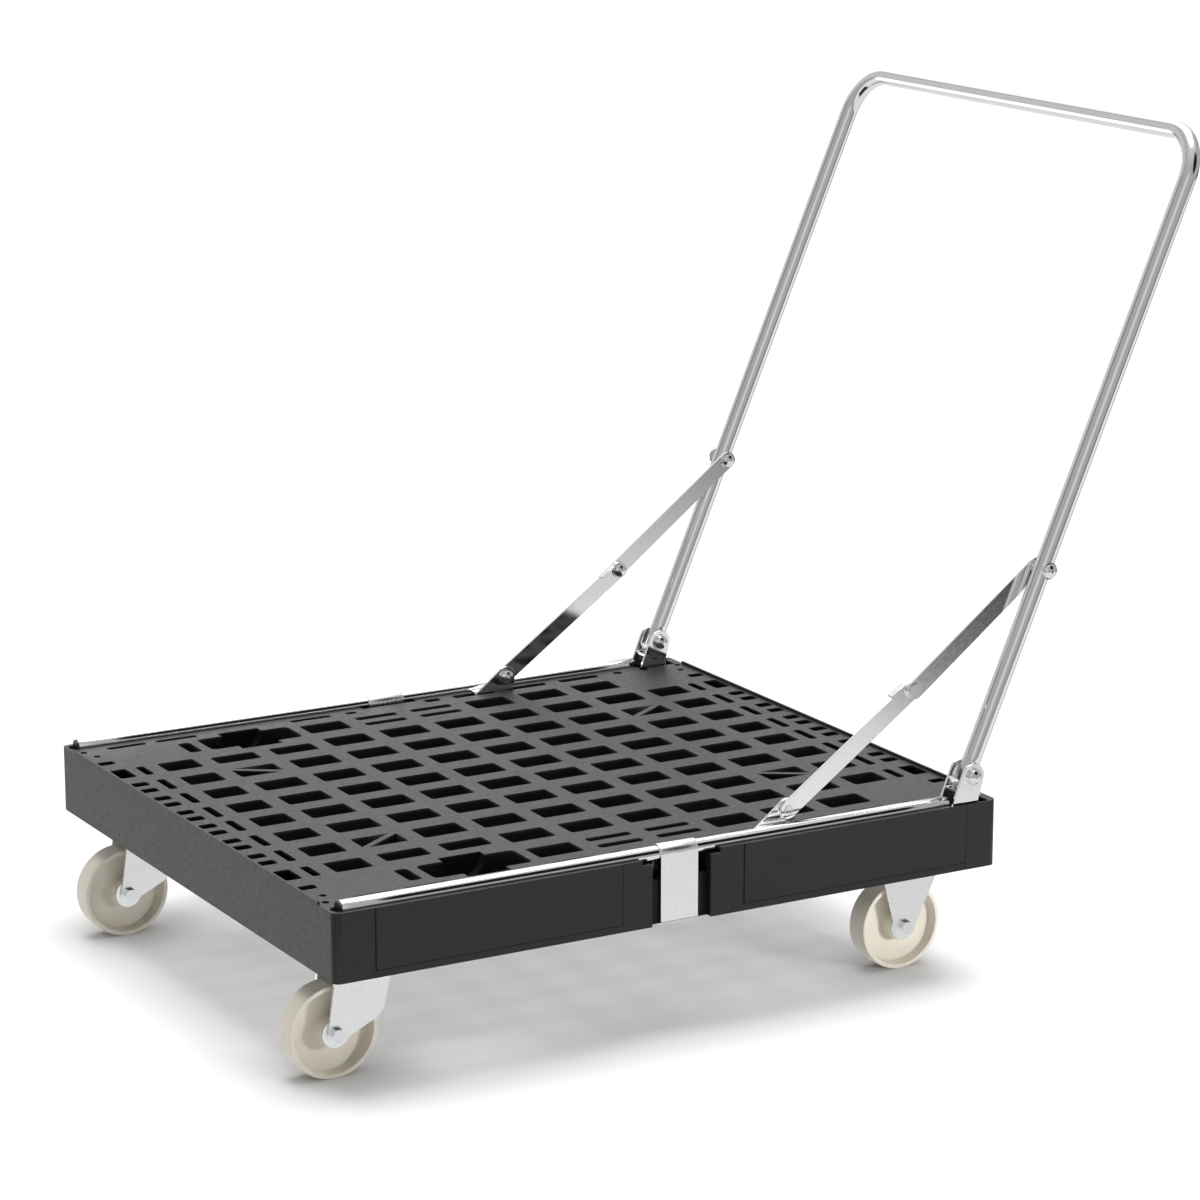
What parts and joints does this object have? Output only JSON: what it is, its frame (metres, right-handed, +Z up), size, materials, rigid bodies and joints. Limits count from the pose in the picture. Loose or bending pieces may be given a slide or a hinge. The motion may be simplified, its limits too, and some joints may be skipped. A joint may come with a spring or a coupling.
{
  "type": "transport dolly",
  "caption": "Low transport dolly: moulded grid deck on two swivel and two fixed castors, with a tubular push handle that folds down on jointed stays.",
  "frame": {"origin": "middle of the footprint of the whole object, on the floor", "axes": "+X along the deck towards the folding handle, +Y across the deck, +Z up"},
  "size_m": [1.0902, 0.7066, 0.9154],
  "materials": {
    "deck_plastic": "fine grained moulded surface",
    "black_plastic": "smooth",
    "rail_tube": "bright plated tube",
    "handle_tube": "bright plated tube",
    "strap_sheet": "zinc plated sheet",
    "stay_sheet": "zinc plated sheet",
    "fork_sheet": "zinc plated sheet",
    "bolt_steel": "zinc plated fasteners",
    "bright_fastener": "bright plated caps and pins",
    "wheel_nylon": "smooth moulded"
  },
  "bodies": {
    "base": {"deck": "deck_plastic", "rail_left": "rail_tube", "rail_right": "rail_tube", "rail_plugs": "black_plastic", "strap_left": "strap_sheet", "strap_right": "strap_sheet", "clevis_left": "stay_sheet", "clevis_right": "stay_sheet", "pivot_bolts": "bright_fastener", "stay_foot_left": "stay_sheet", "stay_foot_right": "stay_sheet", "stay_foot_pins": "bright_fastener", "swivel_plate_left": "fork_sheet", "swivel_plate_right": "fork_sheet", "swivel_kingpins": "bolt_steel", "fixed_fork_left": "fork_sheet", "fixed_fork_right": "fork_sheet", "rear_axle_left": "bolt_steel", "rear_axle_right": "bolt_steel", "rear_washers_left": "bright_fastener", "rear_washers_right": "bright_fastener", "castor_bolts": "bolt_steel"},
    "handle": {"handle_tube": "handle_tube", "handle_stay_bolts": "bright_fastener"},
    "lower_link_left": {"stay_lower_left": "stay_sheet", "elbow_pin_left": "bright_fastener"},
    "lower_link_right": {"stay_lower_right": "stay_sheet", "elbow_pin_right": "bright_fastener"},
    "upper_link_left": {"stay_upper_left": "stay_sheet", "stay_cap_left": "bright_fastener"},
    "upper_link_right": {"stay_upper_right": "stay_sheet", "stay_cap_right": "bright_fastener"},
    "swivel_left": {"swivel_fork_left": "fork_sheet", "front_axle_left": "bolt_steel", "front_washers_left": "bright_fastener"},
    "swivel_right": {"swivel_fork_right": "fork_sheet", "front_axle_right": "bolt_steel", "front_washers_right": "bright_fastener"},
    "front_wheel_left": {"front_wheel_left": "wheel_nylon"},
    "front_wheel_right": {"front_wheel_right": "wheel_nylon"},
    "rear_wheel_left": {"rear_wheel_left": "wheel_nylon"},
    "rear_wheel_right": {"rear_wheel_right": "wheel_nylon"}
  },
  "joints": [
    {"name": "handle_fold", "type": "hinge", "parent": "base", "child": "handle", "pos_m": [0.24293, 0, 0.231], "axis": [0, -1, 0], "range_deg": [0, 98.5]},
    {"name": "stay_foot_left", "type": "hinge", "parent": "base", "child": "lower_link_left", "pos_m": [0.02543, -0.3162, 0.2185], "axis": [0, -1, 0], "range_deg": [-0.01, 143.76]},
    {"name": "stay_foot_right", "type": "hinge", "parent": "base", "child": "lower_link_right", "pos_m": [0.02543, 0.3162, 0.2185], "axis": [0, -1, 0], "range_deg": [-0.01, 143.76]},
    {"name": "stay_elbow_left", "type": "hinge", "parent": "lower_link_left", "child": "upper_link_left", "pos_m": [0.18264, -0.318, 0.32959], "axis": [0, -1, 0], "range_deg": [-160.16, 0.01]},
    {"name": "stay_elbow_right", "type": "hinge", "parent": "lower_link_right", "child": "upper_link_right", "pos_m": [0.18264, 0.318, 0.32959], "axis": [0, -1, 0], "range_deg": [-160.16, 0.01]},
    {"name": "swivel_left", "type": "hinge", "parent": "base", "child": "swivel_left", "pos_m": [-0.45607, -0.264, 0.108], "axis": [0, 0, 1], "continuous": true},
    {"name": "front_wheel_left", "type": "hinge", "parent": "swivel_left", "child": "front_wheel_left", "pos_m": [-0.49507, -0.264, 0.05], "axis": [0, 1, 0], "continuous": true},
    {"name": "swivel_right", "type": "hinge", "parent": "base", "child": "swivel_right", "pos_m": [-0.45607, 0.264, 0.108], "axis": [0, 0, 1], "continuous": true},
    {"name": "front_wheel_right", "type": "hinge", "parent": "swivel_right", "child": "front_wheel_right", "pos_m": [-0.49507, 0.264, 0.05], "axis": [0, 1, 0], "continuous": true},
    {"name": "rear_wheel_left", "type": "hinge", "parent": "base", "child": "rear_wheel_left", "pos_m": [0.19893, -0.264, 0.05], "axis": [0, 1, 0], "continuous": true},
    {"name": "rear_wheel_right", "type": "hinge", "parent": "base", "child": "rear_wheel_right", "pos_m": [0.19893, 0.264, 0.05], "axis": [0, 1, 0], "continuous": true}
  ],
  "couplings": [
    {"joint": "stay_foot_left", "follows": "handle_fold", "ratio": 1.4595},
    {"joint": "stay_elbow_left", "follows": "handle_fold", "ratio": -1.626},
    {"joint": "stay_foot_right", "follows": "handle_fold", "ratio": 1.4595},
    {"joint": "stay_elbow_right", "follows": "handle_fold", "ratio": -1.626}
  ]
}
